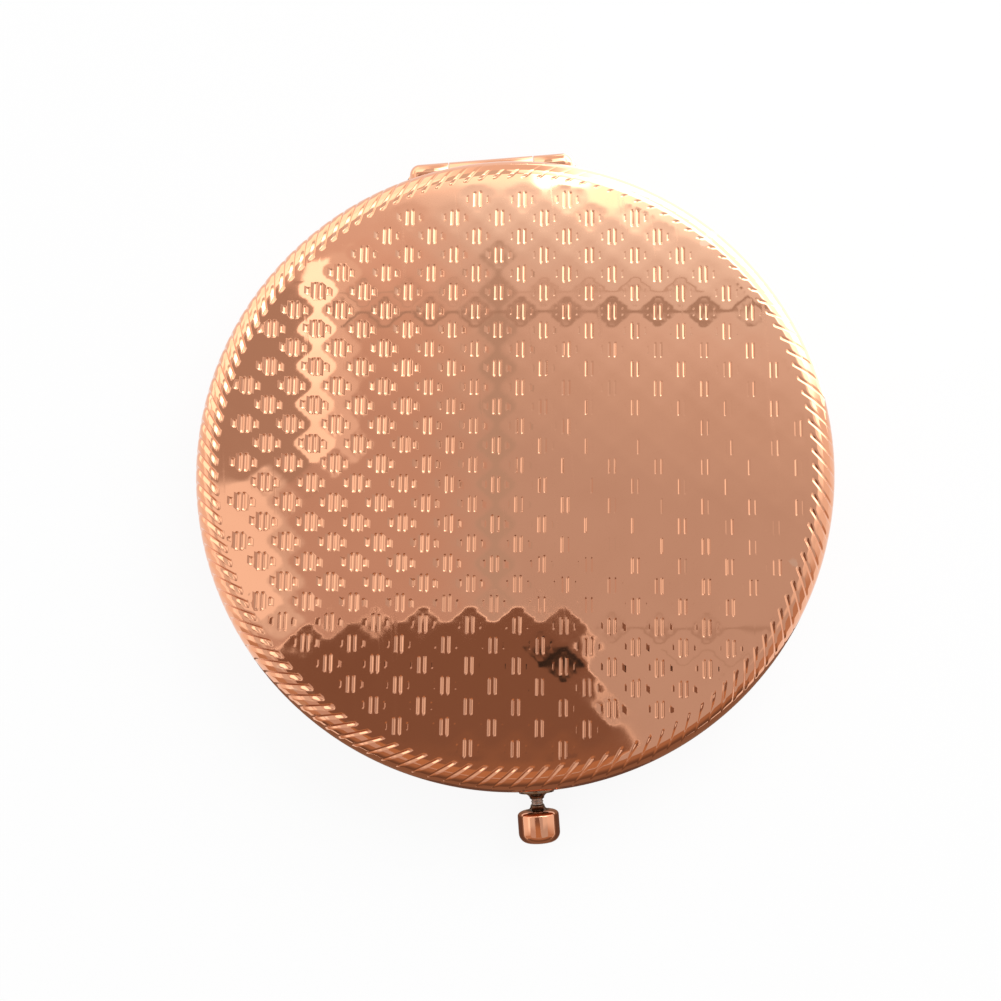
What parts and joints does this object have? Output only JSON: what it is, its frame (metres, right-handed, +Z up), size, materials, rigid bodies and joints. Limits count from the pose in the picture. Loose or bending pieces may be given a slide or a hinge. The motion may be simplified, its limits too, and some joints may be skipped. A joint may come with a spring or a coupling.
{
  "type": "compact mirror",
  "caption": "Round rose-gold pocket compact with an embossed hinged lid, a plain and a magnifying mirror inside, and a push knob at the front that frees the lid.",
  "frame": {"origin": "middle of the flat underside of the base, at the centre of the round shells", "axes": "+Z up through the closed lid, hinge axis along X at the back (+Y), knob at the front (-Y)"},
  "size_m": [0.065, 0.0724, 0.009],
  "materials": {
    "rose_gold_plate": "polished rose-gold plating",
    "inner_plate": "satin rose-gold plating",
    "mirror_glass": "silvered glass",
    "backing_card": "plain grey card",
    "steel": "plain steel"
  },
  "bodies": {
    "base": {"base_shell": "rose_gold_plate", "base_frame": "inner_plate", "base_mirror": "mirror_glass", "base_mirror_pad": "backing_card", "base_hinge_leaf": "rose_gold_plate", "base_hinge_rivets": "inner_plate", "hinge_pin": "steel", "latch_collar": "rose_gold_plate", "latch_bracket": "inner_plate", "latch_bracket_rivets": "inner_plate", "latch_spring": "steel"},
    "lid": {"lid_shell": "rose_gold_plate", "lid_frame": "inner_plate", "lid_mirror": "mirror_glass", "lid_mirror_pad": "backing_card", "lid_hinge_leaf": "rose_gold_plate", "lid_hinge_rivets": "inner_plate", "lid_catch": "steel", "lid_catch_rivets": "inner_plate"},
    "knob": {"latch_knob": "rose_gold_plate", "latch_stem": "steel", "latch_stem_clip": "steel", "latch_slide": "steel"}
  },
  "joints": [
    {"name": "lid_hinge", "type": "hinge", "parent": "base", "child": "lid", "pos_m": [0, 0.03275, 0.0045], "axis": [-1, 0, 0], "range_deg": [0, 180]},
    {"name": "knob_press", "type": "slide", "parent": "base", "child": "knob", "axis": [0, 1, 0], "range_m": [0, 0.0006], "stiffness_N_per_m": 400, "springref_m": -0.0008, "deforming": ["latch_spring"]}
  ]
}
